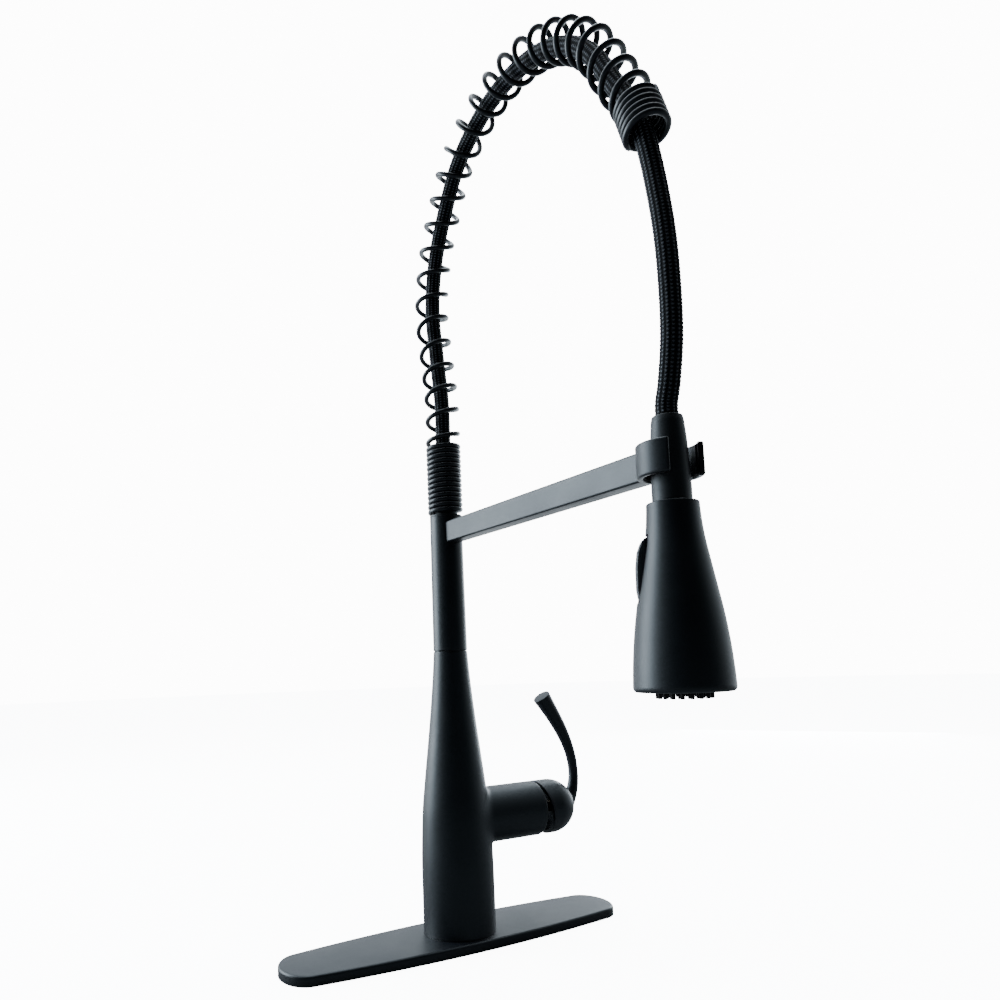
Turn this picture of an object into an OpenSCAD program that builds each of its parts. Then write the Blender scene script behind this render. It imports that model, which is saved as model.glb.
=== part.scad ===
// Single-handle kitchen faucet: tapered body on a three-hole deck plate, swivelling riser with a coil-spring
// neck, a docking arm with an open clip, and a pull-off spray head on a braided hose.
// Origin: centre of the deck plate's underside. +Z is up, the spout reaches along -Y, the handle is at +X.

/* [Deck plate] */
// Length of the deck plate
plate_l = 264; // [250:1:280]
// Width of the deck plate at its middle
plate_w = 59.6; // [57:0.2:64]
// Thickness of the deck plate
plate_h = 6.8; // [6:0.1:9]

/* [Body] */
// Radius of the body at its foot
body_r = 25.8; // [25.6:0.1:27]
// Height of the swivel joint above the deck
swivel_z = 204.6; // [200:0.2:212]
// Radius of the body and riser at the swivel joint
neck_r = 12.5; // [12.3:0.1:13]
// Height of the handle's axis above the deck
hub_z = 84.4; // [82:0.2:88]
// Radius of the handle hub
hub_r = 20; // [19.8:0.1:21]
// Distance from the body's axis to the end of the hub
hub_x = 68; // [67.6:0.2:68.4]

/* [Riser and arm] */
// Height of the riser's top, where the spring starts
riser_top = 305; // [304:0.5:306]
// Radius of the riser at its top
riser_r = 11.9; // [11.8:0.1:12.2]
// Distance from the riser's axis to the spray head's axis
reach = 230; // [230:1:230]
// Height of the arm's centre line
arm_z = 292.6; // [292:0.2:293]
// Height of the arm's section
arm_h = 15.6; // [14:0.2:16.4]
// Width of the arm's section
arm_w = 11.6; // [10:0.2:14]

/* [Spring and hose] */
// Outer radius of the coil spring
coil_r = 13.2; // [13.1:0.1:13.6]
// Radius of the spring's wire
wire_r = 1.8; // [1.5:0.05:1.8]
// Outer radius of the braided hose
hose_r = 5.8; // [5:0.1:6]

/* [Spray head] */
// Height of the spray head's lower rim
head_low = 180.2; // [180:0.1:180.6]
// Height of the spray head's upper rim
head_top = 271.3; // [271:0.1:272]
// Angle of the toggle button from +Y towards -X
toggle_turn = 52; // [0:1:90]

/* [Hidden] */
$fn = 96;

matte_black = "#15171b";
black_plastic = "#1a1c20";
black_rubber = "#101113";
brass = "#b5914a";
steel = "#a9acb0";
white_nylon = "#e4e2da";

eps = 0.05;

// Deck plate
plate_flat = 115;          // half length of the gently curved part of the outline
plate_end_w = 22.5;        // half width where the round ends begin
plate_wall = 2;
plate_roof = 2.2;
plate_boss_r = 24;
plate_bore_r = 17;
// Layers of the plate's rounded upper edge: inset, then depth below the top where the layer starts and ends
PLATE_LAYERS = [[0, plate_h, 2], [0.35, 2, 1.1], [1, 1.1, 0.4], [2, 0.4, 0]];
side_points = 8;
gasket_low = 0.4;
gasket_w = 3.4;

// Body shell
body_wall = 3;
hub_bevel = 0.6;
base_seal_r = 24.8;
base_seal_w = 1.2;
base_seal_h = 1.2;
post_thread_r = 9;
post_flange_r = 10.5;
post_flange_z = 181;
post_flange_h = 4;

// Valve housing and cartridge
housing_r = 19.3;
housing_flange_r = 22.6;
housing_flange_h = 5;
housing_top = 104;
shank_r = 14.5;
shank_top = 50;
inlet_r = 4.5;
inlet_h = 16;
inlet_x = -5;
inlet_y = 7.5;
port_r = 2.5;
port_drop = 3;             // the two inlet ports lie below the hub's axis
port_rise = 8;             // the outlet port lies above it, and so does the floor of the cartridge pocket
port_h = 12;
pocket_w = 60;
pocket_l = 20;
water_r = 4.6;
outlet_r = 5.9;
outlet_seat_h = 6;
seat_x = 17;
cartridge_r = 17.3;
cartridge_x = 44;
cartridge_neck_r = 12;
cartridge_neck_x = 48;
cartridge_nut_x = 56;
bonnet_step_x = 64;
bonnet_step = 1.2;
bonnet_bore_r = 13.6;
bonnet_end = 67.4;

// Body outline: height and radius
BODY = [
    [plate_h, body_r], [30, body_r], [55, body_r - 0.1], [75, body_r - 0.8], [93, body_r - 1.8],
    [114, 21.7], [135, 19.2], [156, 16.75], [177, 14.6], [194, 13.15], [swivel_z - 0.6, neck_r],
    [swivel_z, neck_r - 0.5]
];

// Handle
pivot_x = 60;              // tilt axis of the handle
dome_x = 81.2;             // centre of the dome's round end
dome_wall = 2.4;
rim_top_x = 69.4;          // the dome's rim leans, and leaves room below for the handle to tilt
rim_lean = 10.2;
boss_r = 7.5;
stem_half = 3.6;
stem_x = 54.6;
stem_end_x = 94;
screw_x = 88;              // set screw that clamps the handle to the stem, under a plug
screw_r = 2;
screw_boss_r = 4.5;
screw_h = 16;
plug_h = 1.9;
carrier_r = 11;
carrier_x = 48.3;
carrier_h = 4.7;
lug_t = 2.5;
lug_l = 12;
lug_w = 8;
lug_y = 4.9;
pin_r = 1.25;
lever_sides = 20;
// Centre line of the lever in the plane y = 0, then its radius: x, z, radius
LEVER = [
    [96.5, 75.5, 1.6], [101, 83, 3.9], [104.6, 92, 4.4], [106.8, 101, 4.0], [107.1, 110, 3.75], [105.6, 120, 3.9],
    [102.2, 130.5, 4.25], [96.9, 141.5, 4.85], [90.6, 152, 5.5], [84.6, 161, 6.2], [79.8, 168, 6.9]
];

// Swivel
post_r = 7.5;
post_bore_r = 4;
post_top = 262;
joint_gap = 0.8;           // height of the gap that the swivel washer sits in
BUSHES = [208, 238];       // lower end of each bush
bush_h = 10;
POST_SEALS = [224, 232];
circlip_z = 250.1;
circlip_h = 1.1;
circlip_r = 9.2;
circlip_seat_r = 6.9;
riser_bore = 10.3;
riser_bore_top = 256;
riser_upper_bore = 9.4;
adapter_low = 257;
adapter_top = 284;
sleeve_top = 300;
holder_low = 301;
holder_top = 350;
holder_bore_r = 6.6;
holder_r = 9;

// Arm
arm_edge_r = 1.6;
spigot_r = 4;
spigot_l = 14;
screw_head_r = 3.4;

// Clip
clip_r = 16.4;
clip_bore = 13.5;
clip_low = 284;
clip_high = 301;
clip_gap = 10.6;           // half width of the mouth
clip_bevel = 1.2;
liner_t = 0.9;

// Spring. The open coil has one route point for every two turns, in the plane x = 0: y, z
coil_mid = coil_r - wire_r;
coil_pitch = 3.7;
base_turns = 14;
open_turns = 26;
collar_turns = 5.5;
coil_steps = 12;
wire_sides = 6;
coil_phase = 74;
ROUTE = [
    [0, 360], [0, 393.5], [5.5, 429], [11, 471], [3, 509], [-15.5, 541], [-38, 567.5], [-72.5, 583],
    [-108.5, 586], [-143, 578.5], [-170.5, 563], [-192, 541.5], [-209, 511], [-223, 485.5]
];
route_start = ROUTE[0][1];
collar_dir = [-0.306, -0.952];

// Hose route in the plane x = 0: y, z
HOSE = [
    [0, 286], [0, 320], [0, 360], [0, 393], [5, 429], [9.5, 471], [2, 508], [-16, 539.5], [-39, 565.5], [-73, 580.5],
    [-108.5, 583.5], [-142, 576], [-169, 560.5], [-190, 539.5], [-207, 509.5], [-220.5, 485], [-228, 462],
    [-233, 436], [-236.5, 408], [-237.5, 380], [-236.6, 354], [-233.2, 333], [-230.3, 322], [-230, 315.6]
];
hose_steps = 3;
hose_sides = 10;

// Hose end
nut_top = 315;
nut_low = 262;
stem_r = 5.5;
stem_low = 250;
stem_bore_r = 3.4;
stem_collar = [280, 290];
seal_seat_r = 4.4;
seal_z = 254.5;
seal_section = 0.56;
seal_seat_half = 1.3;

// Spray head outline: height and radius
HEAD = [
    [181.6, 24.1], [189.6, 23.7], [197, 23.15], [205, 22.35], [212.8, 21.35], [220.5, 20.15], [228, 18.8],
    [236, 17.35], [243.7, 15.95], [251.5, 14.6], [259, 13.6], [266.5, 13], [head_top - 0.6, 12.8], [head_top, 12.2]
];
head_wall = 2.4;
head_rim_r = 23;
head_roof_z = 262;         // the wall is thick above this height
head_bore = 10.1;
waterway_r = 8.6;
waterway_top = 261;
chamber_r = 5;
chamber_low = 214;
chamber_top = 247;
flange_z = 196;
flange_r = 20.2;
flange_h = 3;
flange_skirt_z = 187;
flange_port_r = 2;
flange_ports_r = 13;
screen_h = 1.2;
valve_low = 237;
spool_low = 220;
spool_top = 235.5;
spool_slot_half = 1.35;
plate_face_z = 180.6;
plate_face_h = 2.6;
mat_h = 2;
RING_OUTLINE = [
    [18.3, 179.6], [20.5, 179.2], [21.5, 180], [21.5, 184.5], [20.4, 184.5], [20.4, 186], [18.3, 186]
];
ring_r = 21.5;
plate_disc_r = 18.1;
aerator_r = 5.5;
aerator_h = 14;
aerator_bore_r = 4.2;
NOZZLE_RINGS = [[8.6, 12], [12.6, 18]]; // radius of the ring and number of nozzles
nozzle_r = 1.05;
nozzle_proud = 4.6;
toggle_z = 228;
toggle_r = 15;
toggle_half = 4.5;
toggle_gap = 0.4;
axle_r = 1;
slot_x = 9.5;
slot_z = [222.4, 256];
fork_half = 1.6;
fork_h = 2;
fork_l = 10;
fork_x = 4.2;
// Outline of the toggle button: distance from the head's axis, height
TOGGLE = [
    [13.3, 223.8], [19, 223.8], [19.8, 229], [19.3, 240], [18.6, 248], [17, 254.4], [13.3, 254.4]
];

// ---- Shared shapes ----

// Point on a smooth curve through the list P, between points i and i + 1
function blend(P, i, t) =
    let (
        a = P[max(i - 1, 0)],
        b = P[i],
        c = P[min(i + 1, len(P) - 1)],
        d = P[min(i + 2, len(P) - 1)]
    )
    0.5 * (2 * b + (c - a) * t + (2 * a - 5 * b + 4 * c - d) * t * t + (3 * b - a - 3 * c + d) * t * t * t);

function smooth(P, n) = concat(
    [for (i = [0 : len(P) - 2]) for (k = [0 : n - 1]) blend(P, i, k / n)],
    [P[len(P) - 1]]
);

function swap(P) = [for (q = P) [q[1], q[0]]];
function unit(v) = v / norm(v);

// Direction of a list of points at point i
function heading(P, i) = unit(P[min(i + 1, len(P) - 1)] - P[max(i - 1, 0)]);

// Closed skin over a list of rings that all have the same number of points
module skin(rings) {
    sides = len(rings[0]);
    count = len(rings);
    side_faces = [
        for (i = [0 : count - 2]) for (k = [0 : sides - 1])
            let (a = i * sides + k, b = i * sides + (k + 1) % sides)
            each [[a, b, b + sides], [a, b + sides, a + sides]]
    ];
    first = [[for (k = [0 : sides - 1]) sides - 1 - k]];
    last = [[for (k = [0 : sides - 1]) (count - 1) * sides + k]];
    polyhedron([for (r = rings) each r], concat(side_faces, first, last));
}

// Round tube along a route in the plane x = 0
module route_tube(P, r, sides) {
    skin([
        for (i = [0 : len(P) - 1])
            let (t = heading(P, i))
            [for (k = [0 : sides - 1])
                let (a = -360 * k / sides)
                [r * cos(a), P[i][0] + r * sin(a) * t[1], P[i][1] - r * sin(a) * t[0]]]
    ]);
}

// Ring with a square section
module ring(r_out, r_in, z0, z1) {
    translate([0, 0, z0])
        difference() {
            cylinder(h = z1 - z0, r = r_out);
            translate([0, 0, -1])
                cylinder(h = z1 - z0 + 2, r = r_in);
        }
}

module o_ring(r_in, section, z) {
    translate([0, 0, z])
        rotate_extrude()
            translate([r_in + section, 0])
                circle(r = section, $fn = 24);
}

// Cylinder along +X from x0 to x1
module x_rod(r, x0, x1, z = hub_z, y = 0) {
    translate([x0, y, z])
        rotate([0, 90, 0])
            cylinder(h = x1 - x0, r = r);
}

// Cylinder along +Y from y0 to y1
module y_rod(r, y0, y1, z, x = 0) {
    translate([x, y0, z])
        rotate([-90, 0, 0])
            cylinder(h = y1 - y0, r = r);
}

module at_head() {
    translate([0, -reach, 0])
        children();
}

// Radial direction of the toggle button along +X, tangent along +Y
module at_toggle() {
    at_head()
        rotate([0, 0, 90 + toggle_turn])
            children();
}

// ---- Body and its inner parts ----

// Plate outline, moved in by inset: gently curved long sides between round ends
module plate_outline(inset = 0) {
    half = plate_w / 2;
    end_l = plate_l / 2 - plate_flat;
    side = [for (i = [0 : side_points - 1])
        [i * plate_flat / side_points, half - inset - (half - plate_end_w) * pow(i / side_points, 2)]];
    end = [for (a = [0 : 10 : 90])
        [plate_flat + (end_l - inset) * sin(a), (plate_end_w - inset) * cos(a)]];
    quarter = concat(side, end);
    last = len(quarter) - 1;
    polygon(concat(
        quarter,
        [for (i = [last - 1 : -1 : 0]) [quarter[i][0], -quarter[i][1]]],
        [for (i = [1 : last]) [-quarter[i][0], -quarter[i][1]]],
        [for (i = [last - 1 : -1 : 1]) [-quarter[i][0], quarter[i][1]]]
    ));
}

module deck_plate() {
    color(matte_black)
        difference() {
            union() {
                for (layer = PLATE_LAYERS)
                    translate([0, 0, plate_h - layer[1]])
                        linear_extrude(layer[1] - layer[2])
                            plate_outline(layer[0]);
            }
            difference() {
                translate([0, 0, -1])
                    linear_extrude(plate_h - plate_roof + 1)
                        plate_outline(plate_wall);
                cylinder(h = plate_h, r = plate_boss_r);
            }
            translate([0, 0, -1])
                cylinder(h = plate_h + 2, r = plate_bore_r);
        }
}

module plate_gasket() {
    high = plate_h - plate_roof - eps;
    inset = plate_wall + 4 * eps;
    color(black_rubber)
        difference() {
            translate([0, 0, gasket_low])
                linear_extrude(high - gasket_low)
                    plate_outline(inset);
            translate([0, 0, -1])
                linear_extrude(high + 2)
                    plate_outline(inset + gasket_w);
        }
}

module body_shell() {
    outer = smooth(BODY, 3);
    roof_z = post_flange_z + post_flange_h;
    inner = [for (q = outer) if (q[0] < roof_z) [q[0], q[1] - body_wall]];
    color(matte_black)
        difference() {
            union() {
                rotate_extrude()
                    polygon(concat([[0, plate_h]], swap(outer), [[0, swivel_z]]));
                x_rod(hub_r, 0, hub_x - hub_bevel);
                x_rod(hub_r - hub_bevel, 0, hub_x);
            }
            rotate_extrude()
                polygon(concat([[0, plate_h - 1], [inner[0][1], plate_h - 1]], swap(inner),
                    [[inner[len(inner) - 1][1], roof_z], [0, roof_z]]));
            translate([0, 0, post_flange_z])
                cylinder(h = swivel_z, r = post_thread_r);
            x_rod(cartridge_r + 0.3, seat_x, hub_x + 1);
            ring(base_seal_r, base_seal_r - base_seal_w, plate_h - 1, plate_h + base_seal_h);
        }
}

module base_seal() {
    color(black_rubber)
        ring(base_seal_r - eps, base_seal_r - base_seal_w + eps, plate_h, plate_h + base_seal_h);
}

module valve_housing() {
    color(brass)
        difference() {
            union() {
                translate([0, 0, plate_h])
                    cylinder(h = housing_top - plate_h, r = housing_r);
                translate([0, 0, plate_h])
                    cylinder(h = housing_flange_h, r = housing_flange_r);
            }
            translate([0, 0, plate_h - 1])
                cylinder(h = shank_top - plate_h + 1, r = shank_r);
            translate([seat_x, -pocket_w / 2, shank_top + port_rise])
                cube([pocket_l, pocket_w, pocket_w]);
            for (y = [-inlet_y, inlet_y]) {
                translate([inlet_x, y, shank_top - 1])
                    cylinder(h = inlet_h + 1, r = inlet_r);
                translate([inlet_x, y, shank_top])
                    cylinder(h = hub_z - shank_top, r = port_r);
                x_rod(port_r, inlet_x, seat_x + 1, hub_z - port_drop, y);
            }
            x_rod(port_r, 0, seat_x + 1, hub_z + port_rise);
            translate([0, 0, hub_z + port_rise])
                cylinder(h = housing_top - hub_z, r = water_r);
            translate([0, 0, housing_top - outlet_seat_h])
                cylinder(h = outlet_seat_h + 1, r = outlet_r + 2 * eps);
        }
}

module outlet_tube() {
    color(brass)
        ring(outlet_r, water_r, housing_top - outlet_seat_h, post_flange_z + outlet_seat_h);
}

module cartridge() {
    color(white_nylon)
        difference() {
            union() {
                x_rod(cartridge_r, seat_x, cartridge_x);
                x_rod(cartridge_neck_r, cartridge_x - 1, cartridge_neck_x);
            }
            for (y = [-inlet_y, inlet_y])
                x_rod(port_r, seat_x - 1, seat_x + port_h, hub_z - port_drop, y);
            x_rod(port_r, seat_x - 1, seat_x + port_h, hub_z + port_rise);
        }
}

module cartridge_nut() {
    color(brass)
        difference() {
            x_rod(cartridge_r, cartridge_x + 2 * eps, cartridge_nut_x);
            x_rod(cartridge_neck_r + 0.3, cartridge_x - 1, cartridge_nut_x + 1);
        }
}

module bonnet() {
    color(matte_black)
        difference() {
            union() {
                x_rod(cartridge_r, cartridge_nut_x + 2 * eps, bonnet_step_x);
                x_rod(cartridge_r - bonnet_step, bonnet_step_x, bonnet_end);
            }
            x_rod(bonnet_bore_r, cartridge_nut_x, bonnet_step_x + 1);
            x_rod(cartridge_neck_r, bonnet_step_x, bonnet_end + 1);
        }
}

module swivel_post() {
    color(brass)
        difference() {
            union() {
                ring(post_flange_r, post_bore_r, post_flange_z, post_flange_z + post_flange_h);
                ring(post_thread_r, post_bore_r, post_flange_z + post_flange_h, swivel_z - joint_gap / 2);
                ring(post_r, post_bore_r, swivel_z - joint_gap / 2, post_top);
            }
            cylinder(h = post_top + 1, r = water_r);
            translate([0, 0, post_flange_z - 1])
                cylinder(h = outlet_seat_h + 1 + 4 * eps, r = outlet_r + 2 * eps);
            ring(post_r + 1, circlip_seat_r, circlip_z - 2 * eps, circlip_z + circlip_h + 2 * eps);
        }
}

module bush(z) {
    ring(riser_bore - eps, post_r + 0.04, z, z + bush_h);
}

module swivel_bush_lower() {
    color(white_nylon)
        bush(BUSHES[0]);
}

module swivel_bush_upper() {
    color(white_nylon)
        bush(BUSHES[1]);
}

module post_seals() {
    color(black_rubber)
        for (z = POST_SEALS)
            o_ring(post_r, 1.35, z);
}

module post_circlip() {
    color(steel)
        difference() {
            ring(circlip_r, circlip_seat_r + eps, circlip_z, circlip_z + circlip_h);
            translate([0, -2, circlip_z - 1])
                cube([circlip_r + 1, 4, circlip_h + 2]);
        }
}

module swivel_washer() {
    color(white_nylon)
        ring(neck_r - 0.7, post_thread_r + 0.1, swivel_z, swivel_z + joint_gap - 0.1);
}

// ---- Handle ----

module stem_carrier() {
    color(steel)
        difference() {
            union() {
                x_rod(carrier_r, carrier_x, carrier_x + carrier_h);
                for (y = [-lug_y - lug_t, lug_y])
                    translate([carrier_x + carrier_h - 1, y, hub_z - lug_w / 2])
                        cube([lug_l, lug_t, lug_w]);
            }
            y_rod(pin_r, -lug_l, lug_l, hub_z, pivot_x);
        }
}

module stem_pin() {
    color(steel)
        y_rod(pin_r, -lug_y - lug_t, lug_y + lug_t, hub_z, pivot_x);
}

module cartridge_stem() {
    color(brass)
        difference() {
            translate([stem_x, -stem_half, hub_z - stem_half])
                cube([stem_end_x - stem_x, 2 * stem_half, 2 * stem_half]);
            y_rod(pin_r + eps, -lug_l, lug_l, hub_z, pivot_x);
        }
}

// Lever skin: rings across the smoothed centre line
module lever_rod() {
    line = smooth(LEVER, 2);
    path = [for (q = line) [q[0], q[1]]];
    skin([
        for (i = [0 : len(line) - 1])
            let (t = heading(path, i), r = line[i][2])
            [for (k = [0 : lever_sides - 1])
                let (a = -360 * k / lever_sides)
                [line[i][0] + r * cos(a) * t[1], r * sin(a), line[i][1] - r * cos(a) * t[0]]]
    ]);
}

module dome(r) {
    x_rod(r, pivot_x, dome_x);
    translate([dome_x, 0, hub_z])
        rotate([0, 90, 0])
            sphere(r = r);
}

module handle_lever() {
    color(matte_black)
        difference() {
            union() {
                difference() {
                    dome(hub_r);
                    difference() {
                        dome(hub_r - dome_wall);
                        x_rod(boss_r, dome_x + 0.8, dome_x + hub_r);
                        translate([screw_x, 0, hub_z - hub_r])
                            cylinder(h = hub_r, r = screw_boss_r);
                    }
                }
                lever_rod();
            }
            translate([rim_top_x, -2 * hub_r, hub_z + hub_r])
                rotate([0, -rim_lean, 0])
                    translate([-3 * hub_r, 0, -4 * hub_r])
                        cube([3 * hub_r, 4 * hub_r, 5 * hub_r]);
            translate([rim_top_x, -stem_half - eps, hub_z - stem_half - eps])
                cube([stem_end_x + 4 * eps - rim_top_x, 2 * (stem_half + eps), 2 * (stem_half + eps)]);
            translate([screw_x, 0, hub_z - hub_r - 2])
                cylinder(h = hub_r, r = screw_r);
        }
}

module handle_screw() {
    color(steel)
        translate([screw_x, 0, hub_z - screw_h])
            cylinder(h = screw_h - stem_half - 2 * eps, r = screw_r - 0.02);
}

module handle_plug() {
    color(black_plastic)
        translate([screw_x, 0, hub_z - screw_h - plug_h - 2 * eps])
            cylinder(h = plug_h, r = screw_r - 0.02);
}

// ---- Riser, arm and clip ----

module riser_tube() {
    low = swivel_z + joint_gap;
    color(matte_black)
        difference() {
            rotate_extrude()
                polygon([[0, low], [neck_r - 0.5, low], [neck_r, low + 0.6], [riser_r, riser_top - 0.5],
                    [riser_r - 0.5, riser_top], [0, riser_top]]);
            translate([0, 0, low - 1])
                cylinder(h = riser_bore_top - low + 1, r = riser_bore);
            translate([0, 0, low])
                cylinder(h = riser_top, r = riser_upper_bore);
            y_rod(spigot_r + eps, -2 * riser_r, 0, arm_z);
        }
}

module hose_adapter() {
    color(brass)
        difference() {
            ring(riser_upper_bore - 0.02, post_bore_r, adapter_low, adapter_top);
            translate([0, 0, adapter_low - 1])
                cylinder(h = post_top + 5 - adapter_low, r = post_r + 0.08);
            translate([0, 0, post_top])
                cylinder(h = adapter_top, r = water_r);
        }
}

module adapter_seal() {
    color(black_rubber)
        ring(post_r - 0.2, water_r + 0.1, post_top + 0.3, post_top + 2.8);
}

module hose_sleeve() {
    color(steel)
        ring(hose_r + 1.2, hose_r + 0.1, adapter_top + 0.1, sleeve_top);
}

module spring_holder() {
    color(black_plastic)
        union() {
            ring(riser_upper_bore - 0.02, holder_bore_r, holder_low, riser_top + 0.1);
            ring(riser_r, holder_bore_r, riser_top, riser_top + 1.2);
            ring(holder_r, holder_bore_r, riser_top, holder_top);
        }
}

// Bar along -Y with rounded edges
module round_bar(w, h, r, y0, y1) {
    for (x = [-1, 1]) for (z = [-1, 1])
        y_rod(r, y0, y1, arm_z + z * (h / 2 - r), x * (w / 2 - r));
    translate([-w / 2 + r, y0, arm_z - h / 2])
        cube([w - 2 * r, y1 - y0, h]);
    translate([-w / 2, y0, arm_z - h / 2 + r])
        cube([w, y1 - y0, h - 2 * r]);
}

module docking_arm() {
    color(matte_black)
        difference() {
            union() {
                difference() {
                    round_bar(arm_w, arm_h, arm_edge_r, -reach + clip_gap, -spigot_r);
                    cylinder(h = 2 * riser_top, r = riser_r + 0.15);
                }
                y_rod(spigot_r, -spigot_l, -riser_upper_bore, arm_z);
            }
            at_head()
                cylinder(h = 2 * riser_top, r = clip_r + 0.02);
            y_rod(screw_r, -spigot_l - 10, 0, arm_z);
            y_rod(screw_r, -reach, -reach + clip_r + 9.6, arm_z);
        }
}

module arm_screw() {
    color(steel) {
        y_rod(screw_r - 0.02, -spigot_l - 8, -riser_upper_bore + 2 * eps, arm_z);
        y_rod(screw_head_r, -riser_upper_bore + eps, -riser_upper_bore + 1.5, arm_z);
    }
}

// Clip ring with bevelled edges and an open mouth towards -Y
module open_ring(r_out, r_in, z0, z1, bevel) {
    difference() {
        rotate_extrude()
            polygon([[r_in, z0], [r_out - bevel, z0], [r_out, z0 + bevel], [r_out, z1 - bevel],
                [r_out - bevel, z1], [r_in, z1]]);
        translate([-clip_gap, -2 * r_out, z0 - 1])
            cube([2 * clip_gap, 2 * r_out, z1 - z0 + 2]);
    }
}

module docking_clip() {
    color(matte_black)
        difference() {
            at_head()
                open_ring(clip_r, clip_bore, clip_low, clip_high, clip_bevel);
            y_rod(screw_r, -reach, -reach + clip_r + 1, arm_z);
            y_rod(screw_head_r + 0.2, -reach, -reach + clip_bore + 1.5, arm_z);
        }
}

module clip_liner() {
    color(black_plastic)
        at_head()
            open_ring(clip_bore - 0.02, clip_bore - liner_t, clip_low + 1, clip_high - 1, 2 * eps);
}

module clip_screw() {
    color(steel) {
        y_rod(screw_r - 0.02, -reach + clip_bore + 1.4, -reach + clip_r + 8.6, arm_z);
        y_rod(screw_head_r + 0.1, -reach + clip_bore + 2 * eps, -reach + clip_bore + 1.5, arm_z);
    }
}

// ---- Spring ----

// Coil centre and heading at a number of turns after the route's start: [y, z, heading y, heading z]
function coil_axis(turn) =
    turn < 0 ? [0, route_start + turn * coil_pitch, 0, 1] :
    turn > open_turns ?
        let (q = ROUTE[len(ROUTE) - 1] + collar_dir * (turn - open_turns) * coil_pitch)
        [q[0], q[1], collar_dir[0], collar_dir[1]] :
        let (
            i = min(floor(turn / 2), len(ROUTE) - 2),
            t = turn / 2 - i,
            q = blend(ROUTE, i, t),
            d = unit(blend(ROUTE, i, min(t + 0.01, 1)) - blend(ROUTE, i, max(t - 0.01, 0)))
        )
        [q[0], q[1], d[0], d[1]];

module coil(turn_a, turn_b) {
    steps = round((turn_b - turn_a) * coil_steps);
    skin([
        for (i = [0 : steps])
            let (
                turn = turn_a + i / coil_steps,
                c = coil_axis(turn),
                angle = coil_phase + 360 * turn,
                out = [cos(angle), sin(angle) * c[3], -sin(angle) * c[2]],
                along = [0, c[2], c[3]],
                mid = [0, c[0], c[1]] + coil_mid * out
            )
            [for (k = [0 : wire_sides - 1])
                let (a = -360 * k / wire_sides)
                mid + wire_r * (cos(a) * along + sin(a) * out)]
    ]);
}

module spring_base() {
    color(matte_black)
        coil(-base_turns, 0);
}

module spring_rise() {
    color(matte_black)
        coil(0, 6);
}

module spring_bend() {
    color(matte_black)
        coil(6, 13);
}

module spring_crown() {
    color(matte_black)
        coil(13, 20);
}

module spring_fall() {
    color(matte_black)
        coil(20, open_turns);
}

module spring_collar() {
    color(matte_black)
        coil(open_turns, open_turns + collar_turns);
}

module neck_hose() {
    color(black_rubber)
        route_tube(smooth(HOSE, hose_steps), hose_r, hose_sides);
}

// ---- Hose end ----

module hose_nut() {
    color(black_plastic)
        at_head()
            difference() {
                rotate_extrude()
                    polygon([[0, nut_low], [9.7, nut_low], [9.7, 279], [8.9, 302.5], [8.1, 312], [7.5, nut_top],
                        [0, nut_top]]);
                translate([0, 0, nut_low - 1])
                    cylinder(h = nut_top - nut_low - 2, r = stem_r + 0.1);
            }
}

module hose_stem() {
    color(brass)
        at_head()
            difference() {
                union() {
                    ring(stem_r, stem_bore_r, stem_low, nut_top - 3.2);
                    ring(stem_r + 0.08, stem_bore_r, stem_collar[0], stem_collar[1]);
                }
                ring(stem_r + 1, seal_seat_r, seal_z - seal_seat_half, seal_z + seal_seat_half);
            }
}

module stem_seal() {
    color(black_rubber)
        at_head()
            o_ring(seal_seat_r, seal_section, seal_z);
}

// ---- Spray head ----

module toggle_slot() {
    at_toggle()
        translate([slot_x, -toggle_half - toggle_gap, slot_z[0]])
            cube([20, 2 * (toggle_half + toggle_gap), slot_z[1] - slot_z[0]]);
}

module head_shell() {
    outer = smooth(HEAD, 2);
    inner = [for (q = outer) if (q[0] < head_roof_z) [q[0], q[1] - head_wall]];
    color(matte_black)
        difference() {
            at_head()
                difference() {
                    rotate_extrude()
                        polygon(concat([[0, head_low], [head_rim_r, head_low]], swap(outer), [[0, head_top]]));
                    rotate_extrude()
                        polygon(concat([[0, head_low - 1], [ring_r + 0.1, head_low - 1]], swap(inner),
                            [[inner[len(inner) - 1][1], head_roof_z], [0, head_roof_z]]));
                    cylinder(h = head_top + 1, r = head_bore);
                }
            toggle_slot();
            toggle_axle(axle_r + 0.02, 9);
        }
}

module toggle_axle(r, half) {
    at_toggle()
        translate([toggle_r, -half, toggle_z])
            rotate([-90, 0, 0])
                cylinder(h = 2 * half, r = r);
}

module head_waterway() {
    color(black_plastic)
        difference() {
            at_head()
                difference() {
                    union() {
                        translate([0, 0, flange_z])
                            cylinder(h = waterway_top - flange_z, r = waterway_r);
                        translate([0, 0, flange_z])
                            cylinder(h = flange_h, r = flange_r);
                        ring(flange_r, flange_r - 2.2, flange_skirt_z, flange_z + 1);
                    }
                    translate([0, 0, flange_z - 1])
                        cylinder(h = waterway_top, r = stem_bore_r);
                    translate([0, 0, chamber_low])
                        cylinder(h = chamber_top + 1 - chamber_low, r = chamber_r);
                    translate([0, 0, chamber_top])
                        cylinder(h = 20, r = stem_r + 0.06);
                    for (a = [0 : 60 : 300])
                        rotate([0, 0, a])
                            translate([flange_ports_r, 0, flange_z - 1])
                                cylinder(h = flange_h + 3, r = flange_port_r);
                }
            at_toggle()
                translate([0, -fork_half - 0.6, toggle_z - 1.7 * fork_h])
                    cube([fork_l + 2, 2 * (fork_half + 0.6), 2.8 * fork_h]);
        }
}

module inlet_screen() {
    color(steel)
        at_head()
            ring(stem_r, 1, chamber_top + 0.1, chamber_top + 0.1 + screen_h);
}

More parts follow.
